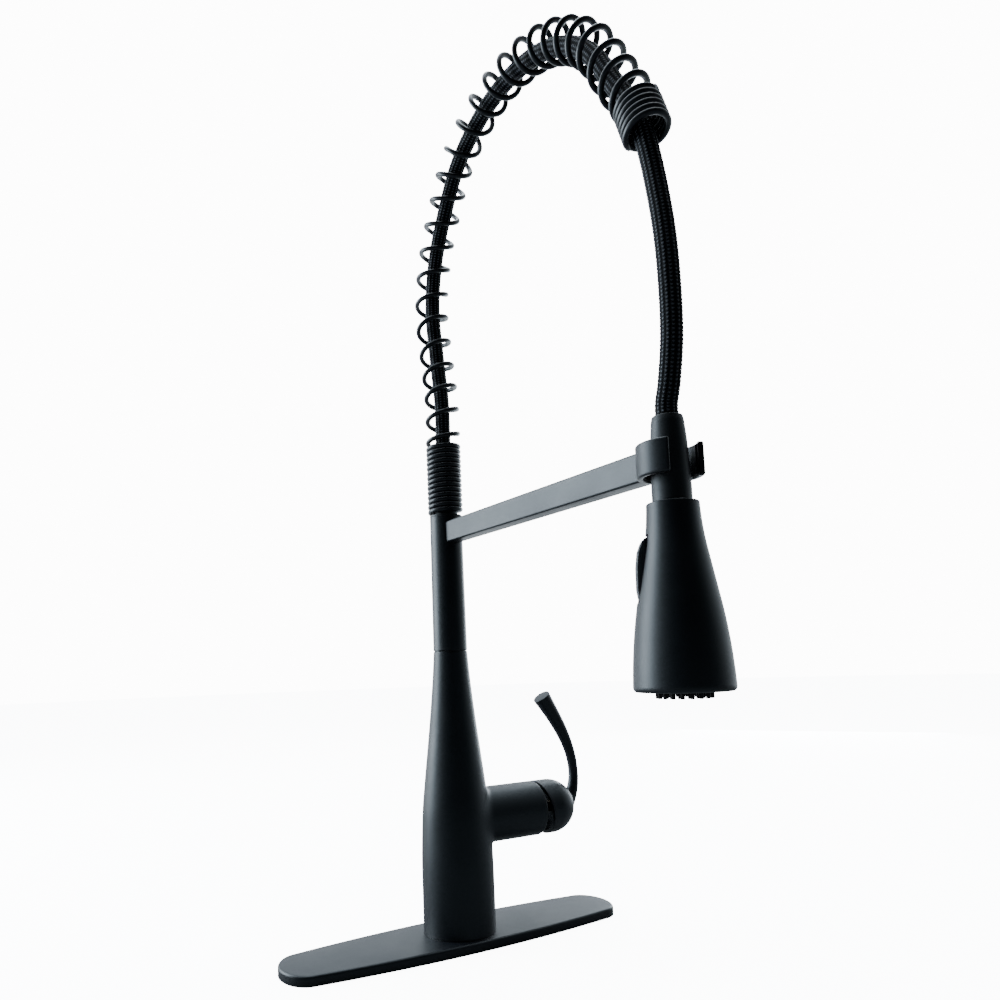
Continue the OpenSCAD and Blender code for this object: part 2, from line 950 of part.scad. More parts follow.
module check_valve() {
    color(white_nylon)
        at_head()
            ring(chamber_r - 0.04, 1.6, valve_low, chamber_top - 0.1);
}

module waterway_seal() {
    color(black_rubber)
        at_head()
            ring(flange_r, flange_r - 2, flange_skirt_z - 0.9, flange_skirt_z - eps);
}

module face_ring() {
    color(matte_black)
        at_head()
            rotate_extrude()
                polygon(RING_OUTLINE);
}

module nozzle_holes(r, z0, z1) {
    for (row = NOZZLE_RINGS) for (i = [0 : row[1] - 1])
        rotate([0, 0, 360 * i / row[1]])
            translate([row[0], 0, z0])
                cylinder(h = z1 - z0, r = r, $fn = 16);
}

module spray_plate() {
    color(black_plastic)
        at_head()
            difference() {
                translate([0, 0, plate_face_z])
                    cylinder(h = plate_face_h, r = plate_disc_r + 0.1);
                translate([0, 0, plate_face_z - 1])
                    cylinder(h = 6, r = aerator_r + 0.1);
                nozzle_holes(nozzle_r + 0.05, plate_face_z - 1, plate_face_z + 4);
            }
}

module nozzle_mat() {
    color("#26282c")
        at_head()
            difference() {
                union() {
                    translate([0, 0, plate_face_z + plate_face_h + eps])
                        cylinder(h = mat_h, r = plate_disc_r);
                    nozzle_holes(nozzle_r, plate_face_z - nozzle_proud, plate_face_z + 3);
                }
                translate([0, 0, plate_face_z])
                    cylinder(h = 6, r = aerator_r + 0.1);
            }
}

module aerator() {
    color(steel)
        at_head()
            difference() {
                translate([0, 0, plate_face_z - 1])
                    cylinder(h = aerator_h, r = aerator_r);
                translate([0, 0, plate_face_z - 2])
                    cylinder(h = 5, r = water_r);
                translate([0, 0, plate_face_z + 5])
                    cylinder(h = aerator_h, r = aerator_bore_r);
            }
}

module toggle_pin() {
    color(steel)
        toggle_axle(axle_r, 8.6);
}

module toggle_button() {
    color(matte_black)
        difference() {
            at_toggle() {
                translate([0, toggle_half, 0])
                    rotate([90, 0, 0])
                        linear_extrude(2 * toggle_half)
                            polygon(TOGGLE);
                translate([fork_x, -fork_half, toggle_z - fork_h / 2])
                    cube([fork_l, 2 * fork_half, fork_h]);
            }
            toggle_axle(axle_r + eps, 12);
        }
}

module diverter_spool() {
    color(brass)
        at_head()
            difference() {
                ring(chamber_r - 0.06, 2, spool_low, spool_top);
                ring(chamber_r + 1, fork_x - 0.6, toggle_z - spool_slot_half, toggle_z + spool_slot_half);
            }
}

deck_plate();
plate_gasket();
body_shell();
base_seal();
valve_housing();
outlet_tube();
cartridge();
cartridge_nut();
bonnet();
swivel_post();
swivel_bush_lower();
swivel_bush_upper();
post_seals();
post_circlip();
swivel_washer();
stem_carrier();
stem_pin();
handle_lever();
cartridge_stem();
handle_screw();
handle_plug();
riser_tube();
hose_adapter();
adapter_seal();
hose_sleeve();
spring_holder();
docking_arm();
arm_screw();
docking_clip();
clip_liner();
clip_screw();
spring_base();
spring_rise();
spring_bend();
spring_crown();
spring_fall();
spring_collar();
neck_hose();
hose_nut();
hose_stem();
stem_seal();
head_shell();
head_waterway();
inlet_screen();
check_valve();
waterway_seal();
nozzle_mat();
spray_plate();
face_ring();
aerator();
toggle_pin();
toggle_button();
diverter_spool();
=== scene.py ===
"""Visual model of a single-handle kitchen faucet with a coil-spring neck, round the CAD frame.

Lengths in the object's tables are in millimetres, in the frame's axes: the deck plate's underside
is z = 0, the spout reaches along -Y and the handle is at +X. mesh_object() turns them into metres.
The camera, the lights and the floor are given in metres.
"""
import math

import bmesh
import bpy
import numpy as np
from mathutils import Matrix, Vector


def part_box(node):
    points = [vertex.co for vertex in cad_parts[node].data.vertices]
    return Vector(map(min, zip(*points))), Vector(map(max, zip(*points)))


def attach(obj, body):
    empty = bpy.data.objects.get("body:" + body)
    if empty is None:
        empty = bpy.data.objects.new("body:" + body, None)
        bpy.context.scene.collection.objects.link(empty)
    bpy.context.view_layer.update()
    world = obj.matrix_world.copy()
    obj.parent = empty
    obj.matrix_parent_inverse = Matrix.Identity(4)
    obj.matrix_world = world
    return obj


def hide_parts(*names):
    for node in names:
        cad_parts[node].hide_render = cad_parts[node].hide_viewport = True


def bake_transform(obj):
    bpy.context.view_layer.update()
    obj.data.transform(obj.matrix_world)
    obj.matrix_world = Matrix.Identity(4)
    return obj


MM = 0.001
SMOOTH_BELOW = math.radians(36)
WELD = 2e-6
# Radius that stands for the axis, so that a turned piece closes there
AXIS_R = 0.01
# A skin that is trimmed later is made this much too long, and a cutting tool goes this much past
SPARE, OVERCUT = 4, 5

# Camera: place, yaw from +Y towards +X, pitch and roll in degrees, sensor in mm, lens and shift
CAMERA_AT = (-0.28491, -0.5116, 0.19704)
CAMERA_YAW, CAMERA_PITCH, CAMERA_ROLL = 28.39, 5.85, 1.93
CAMERA_SENSOR, CAMERA_LENS = 36, 28.41
CAMERA_SHIFT = (0.062, 0.0815)

# Light: its colour, the way from the camera to what lies behind the object, and the surroundings'
# strength on the camera's side and behind, as the object sees them
COOL = (0.84, 0.93, 1.0)
BEHIND = (0.487, 0.874, 0.0)
FRONT_LIGHT, BACK_LIGHT = 0.02, 1.9
# Strength of the backdrop and of the floor as the lens sees them
BACKDROP, FLOOR_GLOW = 13.0, 11.0
FLOOR_TINT = (0.97, 0.985, 1.0)
# Floor as the object sees it: its dim colour, the glow of its far side, and the distances along
# BEHIND between which that glow comes in
FLOOR_DIM = (0.16, 0.165, 0.17)
FAR_GLOW, FAR_SPAN = 3.0, (0.5, 1.3)
FLOOR_RADII, FLOOR_SIDES = (0.4, 1.2, 3.0, 6.0), 96
LIGHT_TARGET = (0, -0.1, 0.3)
# Area lights: name, place, width and height, watts
LIGHTS = [
    ("left_soft", (-1.10, 0.95, 0.55), (0.9, 1.5), 60),
    ("right_soft", (1.35, 0.75, 0.55), (0.6, 1.5), 18),
    ("top_soft", (0.0, 0.4, 2.2), (1.8, 1.8), 50),
]

# Finishes: darkest and lightest colour, range of roughness, scale and strength of the grain, and
# what isn't usual. The grain of turned metal is drawn out round the axis.
GRAIN_DEPTH = 0.0001
TURNED = (1, 1, 12)
FINISHES = {
    "matte_black": (
        (0.0006, 0.0014, 0.0032), (0.0009, 0.0019, 0.0040), (0.40, 0.48), 2600, 0.22,
        {"specular": 0.4, "tint": COOL},
    ),
    "spring_black": (
        (0.0006, 0.0013, 0.0028), (0.0009, 0.0017, 0.0034), (0.32, 0.40), 2000, 0.18,
        {"specular": 0.35, "tint": COOL, "patch": 60},
    ),
    "black_plastic": (
        (0.0008, 0.0013, 0.0024), (0.0012, 0.0018, 0.0031), (0.44, 0.56), 1700, 0.3,
        {"specular": 0.4, "tint": COOL},
    ),
    "rubber": (
        (0.0018, 0.0021, 0.0026), (0.0028, 0.0031, 0.0037), (0.60, 0.78), 1400, 0.45,
        {"specular": 0.3},
    ),
    "brass": (
        (0.13, 0.085, 0.035), (0.20, 0.14, 0.06), (0.34, 0.50), 900, 0.2,
        {"metallic": 1.0, "stretch": TURNED},
    ),
    "steel": (
        (0.50, 0.51, 0.53), (0.62, 0.63, 0.65), (0.20, 0.36), 900, 0.2,
        {"metallic": 1.0, "stretch": TURNED},
    ),
    "nylon": ((0.62, 0.60, 0.54), (0.74, 0.72, 0.66), (0.42, 0.56), 1200, 0.25, {}),
}
# Braid: colours from the gaps between the strands to their crowns: painted shade in the gaps and a
# painted highlight on the crowns
BRAID_SHADE_AND_HIGHLIGHT = [
    (0.0, (0.0003, 0.0005, 0.0010)), (0.62, (0.0012, 0.0017, 0.0030)), (1.0, (0.075, 0.086, 0.10)),
]

# The CAD nodes of each material slot; those not named here are matte black
NODE_SLOTS = {
    "rubber": (
        "plate_gasket", "base_seal", "post_seals", "adapter_seal", "stem_seal", "waterway_seal",
        "nozzle_mat",
    ),
    "hose_braid": ("neck_hose",),
    "brass": (
        "valve_housing", "outlet_tube", "cartridge_nut", "swivel_post", "cartridge_stem",
        "hose_adapter", "hose_stem", "diverter_spool",
    ),
    "nylon": ("cartridge", "swivel_bush_lower", "swivel_bush_upper", "check_valve"),
    "black_plastic": (
        "swivel_washer", "spring_holder", "clip_liner", "hose_nut", "head_waterway",
        "spray_plate", "handle_plug",
    ),
    "steel": (
        "post_circlip", "stem_carrier", "stem_pin", "handle_screw", "hose_sleeve", "arm_screw",
        "clip_screw", "inlet_screen", "aerator", "toggle_pin",
    ),
}

# Body outline: height, radius
BODY = [
    (-4, 25.8), (6.8, 25.8), (30, 25.8), (55, 25.7), (75, 25.0), (93, 24.0), (114, 21.7),
    (135, 19.2), (156, 16.75), (177, 14.6), (194, 13.15), (204, 12.5), (214, 12.0),
]
BODY_VOXEL = 0.8
# Neck: radius, height of its rounded lip, radius and depth of its bore
NECK_R, NECK_LIP = 12.5, 0.6
NECK_BORE_R, NECK_DEPTH = 9.2, 14
# Side hub: radius and height of its axis, radius and far end of its bore, edge, fillet to the body
HUB_R, HUB_Z = 20, 84.4
HUB_BORE_R, HUB_BORE_X = 17.5, 44.3
HUB_BEVEL, HUB_FILLET = 1.4, 4.0
# Rounded edge of radius 1: how far along and how far in
ROUND_EDGE = [(0.38, 0.08), (0.71, 0.29), (0.92, 0.62), (1, 1)]

# Handle: tilt axis, centre of the dome, thickness and depth of its wall, its leaning rim
PIVOT_X, DOME_X = 60, 81.2
DOME_WALL, DOME_DEPTH = 2.4, 10
RIM_TOP_X, RIM_LEAN = 69.4, 10.2
HANDLE_VOXEL = 0.7
# Screw hole in the dome's underside: place, radius, distance of its end below the dome's centre
SCREW_X, SCREW_R, SCREW_END = 88, 2.0, 15.5
# Lever: x, z and radius along its middle line
LEVER = [
    (96.5, 75.5, 1.6), (101, 83, 3.9), (104.6, 92, 4.4), (106.8, 101, 4.0), (107.1, 110, 3.75),
    (105.6, 120, 3.9), (102.2, 130.5, 4.25), (96.9, 141.5, 4.85), (90.6, 152, 5.5),
    (84.6, 161, 6.2), (79.8, 168, 6.9),
]
LEVER_FILLET, LEVER_SPARE, TIP_EDGE = 5.0, 9, 0.5

# Deck plate: the sides curve gently as far as PLATE_FLAT, then the round ends begin
PLATE_FLAT, PLATE_END_W = 115, 22.5
PLATE_WALL, PLATE_ROOF = 2.0, 2.2
PLATE_EDGE, PLATE_FOOT_EDGE = 1.9, 0.25
PLATE_BOSS_R, PLATE_BORE_R = 24, 17

# Riser: its foot, its radius at the top, and its bore below and above a step
RISER_FOOT_R, RISER_FOOT_H, RISER_R = 12.5, 0.7, 11.9
RISER_BORE_R, RISER_TOP_BORE_R, RISER_STEP_Z = 10.3, 9.4, 256

# Docking arm: section, rounded edge, and how far it goes into the riser and the clip
ARM_W, ARM_H, ARM_EDGE = 11.6, 15.6, 1.5
ARM_IN_RISER, ARM_IN_CLIP = 1.6, 2.2

# Docking clip: radii, heights, half of its mouth, inner and outer edges
CLIP_R, CLIP_BORE = 16.4, 13.5
CLIP_LOW, CLIP_HIGH = 284, 301
CLIP_GAP, CLIP_EDGE_IN, CLIP_EDGE_OUT = 10.6, 0.5, 1.3
# The mesh's steps round the clip, the length over which its ends are rounded, and rings there: the
# share of that length and how much the section shrinks
CLIP_STEPS, CLIP_END = 110, 0.9
CLIP_END_RINGS = [(0, 0.7), (0.2, 0.33), (0.55, 0.1)]

# Coil spring: radius of the wire's middle line, wire radius, pitch where the turns touch
COIL_MID, WIRE_R, COIL_PITCH = 11.4, 1.8, 3.7
BASE_TURNS, OPEN_TURNS, COLLAR_TURNS = 14, 26, 5.5
# Angle of the wire where the open turns begin, steps for each turn and sides of the wire's mesh
COIL_PHASE, COIL_STEPS, WIRE_SIDES = 74, 40, 16
# Share of the wire's radius at its very end, one step further and from there on
WIRE_END = (0.55, 0.85, 1.0)
# Heading of the collar, and one point for every two open turns, as y and z in the plane x = 0
COLLAR_DIR = (-0.306, -0.952)
ROUTE = [
    (0, 360), (0, 393.5), (5.5, 429), (11, 471), (3, 509), (-15.5, 541), (-38, 567.5),
    (-72.5, 583), (-108.5, 586), (-143, 578.5), (-170.5, 563), (-192, 541.5), (-209, 511),
    (-223, 485.5),
]

# Hose: radius over the strands' crowns and the depth between them, crowns round the hose and
# their pitch along it, and the mesh's steps for each crown
HOSE_R, BRAID_H = 5.8, 0.5
BRAID_ROUND, BRAID_PITCH = 13, 2.0
CROWN_SIDES, CROWN_STEPS = 5, 4
STRAND_SLANT, STRAND_LOW = 0.35, 0.3
PATH_EVERY = 8
# Route of the hose in the plane x = 0: y, z
HOSE = [
    (0, 286), (0, 320), (0, 360), (0, 393), (5, 429), (9.5, 471), (2, 508), (-16, 539.5),
    (-39, 565.5), (-73, 580.5), (-108.5, 583.5), (-142, 576), (-169, 560.5), (-190, 539.5),
    (-207, 509.5), (-220.5, 485), (-228, 462), (-233, 436), (-236.5, 408), (-237.5, 380),
    (-236.6, 354), (-233.2, 333), (-230.3, 322), (-230, 315.6),
]

# Hose nut: bore, bore and radius at the top, and outline of radius, height and corner radius
NUT_BORE_R, NUT_MOUTH_R, NUT_TOP_R = 5.6, 5.85, 7.5
NUT = [(9.7, 279, 6), (8.9, 302.5, 8), (8.1, 312, 2)]

# Spray head outline: height, radius
HEAD = [
    (181.6, 24.1), (189.6, 23.7), (197, 23.15), (205, 22.35), (212.8, 21.35), (220.5, 20.15),
    (228, 18.8), (236, 17.35), (243.7, 15.95), (251.5, 14.6), (259, 13.6), (266.5, 13.0),
    (270.7, 12.8),
]
# Its lower lip as radius and height, its upper edge as radius and depth below the top
HEAD_LIP = [(21.7, 179.5), (22.3, 179.25), (22.9, 179.35), (23.5, 179.8), (23.9, 180.5)]
HEAD_EDGE = [(12.7, 0.3), (12.4, 0.08), (12.1, 0)]
# Its wall, its bore at the top, and the height at which the hollow narrows to that bore
HEAD_WALL, HEAD_BORE, HEAD_ROOF_Z = 2.4, 10.1, 262
# Toggle button: its angle round the head, half its width, the gap round it, and its outline as
# distance from the head's axis, height and corner radius
TOGGLE_TURN, TOGGLE_HALF, TOGGLE_GAP = 52, 4.5, 0.4
TOGGLE = [
    (13.3, 223.8, 0.4), (19.0, 223.8, 1.2), (19.8, 229, 4), (19.6, 240, 5), (18.6, 247.5, 5),
    (16.8, 252.2, 4), (14.4, 254.4, 1), (13.3, 254.4, 0.4),
]
TOGGLE_MIDDLE = (16.3, 239.0)
# The button's rounded sides: share of its half width, and how much the outline shrinks there
TOGGLE_SIDES = [(1.0, 0.9), (0.93, 0.405), (0.8, 0.108), (0.6, 0)]
# Slot for the button: distances from the head's axis, and heights
SLOT_IN, SLOT_OUT = 9.5, 30
SLOT_LOW, SLOT_HIGH = 222.4, 256.0

# Ring round the spray face: radius, height, corner radius
FACE_RIM_R = 21.5
FACE_RIM = [
    (18.35, 179.7), (18.6, 179.35, 0.2), (20.6, 179.15, 0.4), (FACE_RIM_R, 180, 0.4),
    (FACE_RIM_R, 184.4), (20.4, 184.4), (20.4, 186), (18.35, 186),
]
# Spray face: height, thickness, radii, and its outline below as radius, depth and corner radius
FACE_Z, FACE_H = 180.6, 2.6
DISC_R, DISC_BORE = 18.15, 5.65
FACE = [
    (DISC_BORE, 0), (6.1, 0.25, 0.2), (6.7, 0, 0.2), (10.1, 0, 0.2), (10.6, 0.25, 0.2),
    (11.1, 0, 0.2), (16.4, 0, 0.2), (17.2, 0.3, 0.2), (DISC_R, 0.3, 0.2),
]
# Nozzles: radius of each ring and how many stand in it, radius of a nozzle, height of its mouth
NOZZLE_RINGS = [(8.6, 12), (12.6, 18)]
NOZZLE_R, NOZZLE_LOW = 1.05, 176.0
# Aerator screen: radius, distance between its wires, wires on each side of the middle, half of
# a wire's width, and heights of the wires along Y and along X
SCREEN_R, SCREEN_STEP, SCREEN_WIRES, SCREEN_HALF = 4.5, 0.9, 4, 0.12
SCREEN_Y_Z, SCREEN_X_Z = (180.4, 180.75), (180.6, 180.95)


# ---- Curves ----

def blend_point(points, i, t):
    """Point on a smooth curve between points i and i + 1."""
    last = len(points) - 1
    a, b, c, d = (
        np.array(points[min(max(k, 0), last)], float) for k in (i - 1, i, i + 1, i + 2)
    )
    square, cube = 2 * a - 5 * b + 4 * c - d, 3 * b - a - 3 * c + d
    return 0.5 * (2 * b + (c - a) * t + square * t**2 + cube * t**3)


def smooth_line(points, steps):
    """The curve through the points, with this many steps between each two."""
    spans = range(len(points) - 1)
    line = [blend_point(points, i, k / steps) for i in spans for k in range(steps)]
    return line + [np.array(points[-1], float)]


def even_line(points, step):
    """Points at an even distance along the smooth line through the given ones, and its length."""
    line = np.array(smooth_line(points, 24))
    run = np.concatenate([[0], np.cumsum(np.linalg.norm(np.diff(line, axis=0), axis=1))])
    at = np.linspace(0, run[-1], int(round(run[-1] / step)) + 1)
    return np.stack([np.interp(at, run, line[:, k]) for k in (0, 1)], axis=1), run[-1]


def rounded(points, steps=5, closed=False):
    """Outline whose corners are rounded by the third number of each point, where it has one."""
    out = []
    count = len(points)
    for i, point in enumerate(points):
        corner = Vector(point[:2])
        if len(point) < 3 or (not closed and i in (0, count - 1)):
            out.append(tuple(corner))
            continue
        before = Vector(points[i - 1][:2]) - corner
        after = Vector(points[(i + 1) % count][:2]) - corner
        reach = point[2] / math.tan(before.angle(after) / 2)
        reach = min(reach, 0.49 * before.length, 0.49 * after.length)
        a, b = corner + before.normalized() * reach, corner + after.normalized() * reach
        for k in range(steps + 1):
            t = k / steps
            out.append(tuple((1 - t) ** 2 * a + 2 * t * (1 - t) * corner + t * t * b))
    return out


def shrunk(outline, middle, amount):
    """Outline whose points come nearer to its middle by an amount, along each axis."""
    return [
        tuple(c - math.copysign(min(amount, abs(c - m)), c - m) for c, m in zip(point, middle))
        for point in outline
    ]


# ---- Meshes ----

def mesh_object(name, verts, faces):
    mesh = bpy.data.meshes.new(name)
    mesh.from_pydata([tuple(MM * float(c) for c in v) for v in verts], [], faces)
    mesh.validate()
    obj = bpy.data.objects.new(name, mesh)
    bpy.context.scene.collection.objects.link(obj)
    return obj


def tidy_mesh(obj):
    """Welds doubles, turns the faces outwards and shades smooth, with real edges kept."""
    bm = bmesh.new()
    bm.from_mesh(obj.data)
    bmesh.ops.remove_doubles(bm, verts=bm.verts, dist=WELD)
    bmesh.ops.recalc_face_normals(bm, faces=bm.faces)
    bm.to_mesh(obj.data)
    bm.free()
    obj.data.shade_smooth()
    obj.data.set_sharp_from_angle(angle=SMOOTH_BELOW)


def skin_faces(rings, sides, end_to_end=False):
    """Quads between rings of points that lie one after another in the vertex list."""
    faces = []
    for i in range(rings if end_to_end else rings - 1):
        j = (i + 1) % rings
        for k in range(sides):
            m = (k + 1) % sides
            faces.append((i * sides + k, i * sides + m, j * sides + m, j * sides + k))
    return faces


def cap_faces(rings, sides):
    """The two faces that close a skin at its first and last ring."""
    return [tuple(reversed(range(sides))), tuple(range((rings - 1) * sides, rings * sides))]


def loft(name, rings):
    """Closed skin over rings of points that all have the same number of points."""
    count, sides = len(rings), len(rings[0])
    faces = skin_faces(count, sides) + cap_faces(count, sides)
    obj = mesh_object(name, [v for ring in rings for v in ring], faces)
    tidy_mesh(obj)
    return obj


def lathe(name, outline, centre=(0, 0), segments=144):
    """Turns a closed outline of (radius, height) about a vertical axis."""
    rings = []
    for k in range(segments):
        a = 2 * math.pi * k / segments
        x, y = math.cos(a), math.sin(a)
        rings.append([(centre[0] + r * x, centre[1] + r * y, z) for r, z in outline])
    faces = skin_faces(segments, len(outline), end_to_end=True)
    obj = mesh_object(name, [v for ring in rings for v in ring], faces)
    tidy_mesh(obj)
    return obj


def rod(name, radius, low, high, centre=(0, 0), segments=144):
    """Upright cylinder."""
    outline = [(AXIS_R, low), (radius, low), (radius, high), (AXIS_R, high)]
    return lathe(name, outline, centre, segments)


def x_ring(x, radius, sides):
    """Ring of points about the hub's axis."""
    turns = [2 * math.pi * k / sides for k in range(sides)]
    return [(x, radius * math.cos(a), HUB_Z + radius * math.sin(a)) for a in turns]


def box_mesh(name, low, high, axes=None):
    """Closed box between two corners, in axes of its own."""
    xs, ys, zs = zip(low, high)
    corners = [Vector((x, y, z)) for x in xs for y in ys for z in zs]
    faces = [(0, 1, 3, 2), (4, 6, 7, 5), (0, 4, 5, 1), (2, 3, 7, 6), (0, 2, 6, 4), (1, 5, 7, 3)]
    obj = mesh_object(name, [(axes @ c if axes else c) for c in corners], faces)
    tidy_mesh(obj)
    return obj


def apply_modifiers(obj):
    """Bakes the object's modifiers into its mesh."""
    graph = bpy.context.evaluated_depsgraph_get()
    mesh = bpy.data.meshes.new_from_object(obj.evaluated_get(graph))
    obj.modifiers.clear()
    obj.data = mesh


def joined(objs):
    """One object out of several."""
    bm = bmesh.new()
    for obj in objs:
        bm.from_mesh(obj.data)
    bm.to_mesh(objs[0].data)
    bm.free()
    for obj in objs[1:]:
        bpy.data.objects.remove(obj)
    return objs[0]


def cut(obj, tool):
    """Cuts a closed tool out of the object. The tool is used up."""
    modifier = obj.modifiers.new("cut", "BOOLEAN")
    modifier.operation = "DIFFERENCE"
    modifier.solver = "EXACT"
    modifier.object = tool
    apply_modifiers(obj)
    bpy.data.objects.remove(tool)
    tidy_mesh(obj)


# ---- Blended shapes: a remeshed skin is moved onto the surface where a field is zero ----

def remesh(obj, voxel):
    modifier = obj.modifiers.new("remesh", "REMESH")
    modifier.mode = "VOXEL"
    modifier.voxel_size = voxel * MM
    apply_modifiers(obj)


def smooth_min(a, b, width):
    share = np.clip(1 - np.abs(a - b) / width, 0, 1)
    return np.minimum(a, b) - share**2 * width / 4


def settle(obj, field, rounds=5, step=0.02, least_slope=0.2):
    """Moves every vertex onto the surface where field(points in mm) is zero."""
    count = len(obj.data.vertices)
    flat = np.empty(count * 3)
    obj.data.vertices.foreach_get("co", flat)
    p = flat.reshape(-1, 3) / MM
    for _ in range(rounds):
        d = field(p)
        slope = np.stack([(field(p + step * axis) - d) / step for axis in np.eye(3)], axis=1)
        p -= (d / np.maximum((slope**2).sum(axis=1), least_slope))[:, None] * slope
    obj.data.vertices.foreach_set("co", (p * MM).ravel())
    obj.data.update()


def trim(obj, point, normal, steps):
    """Cuts away what is beyond a plane and closes the cut with rings, the last of them filled.

    Each step is a ring's distance along the normal and the growth of the cut's outline, in mm.
    """
    normal = Vector(normal).normalized()
    bm = bmesh.new()
    bm.from_mesh(obj.data)
    bmesh.ops.bisect_plane(
        bm, geom=bm.verts[:] + bm.edges[:] + bm.faces[:], plane_co=Vector(point) * MM,
        plane_no=normal, clear_outer=True,
    )
    rim = [e for e in bm.edges if e.is_boundary]
    ring = dict.fromkeys(v for e in rim for v in e.verts)
    centre = sum((v.co for v in ring), Vector()) / len(ring)
    along, grown = 0.0, 0.0
    for move, growth in steps:
        made = bmesh.ops.extrude_edge_only(bm, edges=rim)["geom"]
        rim = [g for g in made if isinstance(g, bmesh.types.BMEdge) and g.is_boundary]
        for v in dict.fromkeys(v for e in rim for v in e.verts):
            out = v.co - centre
            out -= normal * out.dot(normal)
            v.co += normal * (move - along) * MM + out.normalized() * (growth - grown) * MM
        along, grown = move, growth
    bmesh.ops.holes_fill(bm, edges=rim)
    bm.to_mesh(obj.data)
    bm.free()
    tidy_mesh(obj)


# ---- Materials ----

def principled(name, roughness, metallic=0.0, specular=0.5, tint=(1, 1, 1)):
    material = bpy.data.materials.new(name)
    material.use_nodes = True
    shader = material.node_tree.nodes["Principled BSDF"]
    shader.inputs["Metallic"].default_value = metallic
    shader.inputs["Roughness"].default_value = roughness
    shader.inputs["Specular IOR Level"].default_value = specular
    shader.inputs["Specular Tint"].default_value = (*tint, 1)
    return material, shader


def noise_node(nodes, links, scale, detail=3.0, stretch=(1, 1, 1)):
    """Noise in the frame's metres, stretched along its axes."""
    place = nodes.new("ShaderNodeTexCoord")
    mapping = nodes.new("ShaderNodeMapping")
    mapping.inputs["Scale"].default_value = stretch
    noise = nodes.new("ShaderNodeTexNoise")
    noise.inputs["Scale"].default_value = scale
    noise.inputs["Detail"].default_value = detail
    links.new(place.outputs["Object"], mapping.inputs["Vector"])
    links.new(mapping.outputs["Vector"], noise.inputs["Vector"])
    return noise.outputs["Fac"]


def ramp(nodes, links, source, stops):
    """Colour ramp from (position, colour) stops."""
    node = nodes.new("ShaderNodeValToRGB")
    elements = node.color_ramp.elements
    for element, (at, colour) in zip(elements, (stops[0], stops[-1])):
        element.position, element.color = at, (*colour, 1)
    for at, colour in stops[1:-1]:
        elements.new(at).color = (*colour, 1)
    links.new(source, node.inputs["Fac"])
    return node.outputs["Color"]


def value_range(nodes, links, source, given, wanted):
    """Maps one range of values onto another and holds its ends."""
    node = nodes.new("ShaderNodeMapRange")
    for name, value in zip(("From Min", "From Max", "To Min", "To Max"), (*given, *wanted)):
        node.inputs[name].default_value = value
    links.new(source, node.inputs["Value"])
    return node.outputs["Result"]


def bump(nodes, links, height, strength, shader):
    node = nodes.new("ShaderNodeBump")
    node.inputs["Strength"].default_value = strength
    node.inputs["Distance"].default_value = GRAIN_DEPTH
    links.new(height, node.inputs["Height"])
    links.new(node.outputs["Normal"], shader.inputs["Normal"])


def dot_product(nodes, links, source, direction):
    node = nodes.new("ShaderNodeVectorMath")
    node.operation = "DOT_PRODUCT"
    node.inputs[1].default_value = direction
    links.new(source, node.inputs[0])
    return node.outputs["Value"]


def finish(name, dark, light, rough, grain, strength, metallic=0.0, specular=0.5, patch=30,
           stretch=(1, 1, 1), tint=(1, 1, 1)):
    """A finish with fine grain in its bump, and slow changes in its colour and roughness."""
    material, shader = principled(name, sum(rough) / 2, metallic, specular, tint)
    nodes, links = material.node_tree.nodes, material.node_tree.links
    slow = noise_node(nodes, links, patch)
    fine = noise_node(nodes, links, grain, 4.0, stretch)
    links.new(ramp(nodes, links, slow, [(0.3, dark), (0.7, light)]), shader.inputs["Base Color"])
    mixed = nodes.new("ShaderNodeMath")
    mixed.operation = "MULTIPLY_ADD"
    mixed.inputs[1].default_value = 0.35
    links.new(fine, mixed.inputs[0])
    links.new(slow, mixed.inputs[2])
    varied = value_range(nodes, links, mixed.outputs[0], (0.4, 0.9), rough)
    links.new(varied, shader.inputs["Roughness"])
    bump(nodes, links, fine, strength, shader)
    return material


def braid_finish():
    """Woven sleeve: the crowns, kept in the mesh's braid attribute, carry a painted highlight and
    are smoother; the gaps carry painted shade.
    """
    material, shader = principled("hose_braid", 0.6, specular=0.12, tint=COOL)
    nodes, links = material.node_tree.nodes, material.node_tree.links
    crown = nodes.new("ShaderNodeAttribute")
    crown.attribute_name = "braid"
    height = crown.outputs["Fac"]
    # Base colour from the braid height: painted shade in the gaps and a painted highlight on the
    # crowns
    links.new(ramp(nodes, links, height, BRAID_SHADE_AND_HIGHLIGHT), shader.inputs["Base Color"])
    varied = value_range(nodes, links, height, (0.3, 1.0), (0.85, 0.42))
    links.new(varied, shader.inputs["Roughness"])
    bump(nodes, links, noise_node(nodes, links, 5200, 2.0), 0.4, shader)
    return material


def make_materials():
    materials = {
        slot: finish(slot, *usual, **others) for slot, (*usual, others) in FINISHES.items()
    }
    materials["hose_braid"] = braid_finish()
    return materials


def paint(obj, materials, slot):
    obj.data.materials.clear()
    obj.data.materials.append(materials[slot])


def paint_nodes(nodes, materials):
    """Gives each CAD node the finish of its material slot."""
    slots = {name: slot for slot, names in NODE_SLOTS.items() for name in names}
    for name, node in nodes.items():
        paint(node, materials, slots.get(name, "matte_black"))


# ---- Stage ----

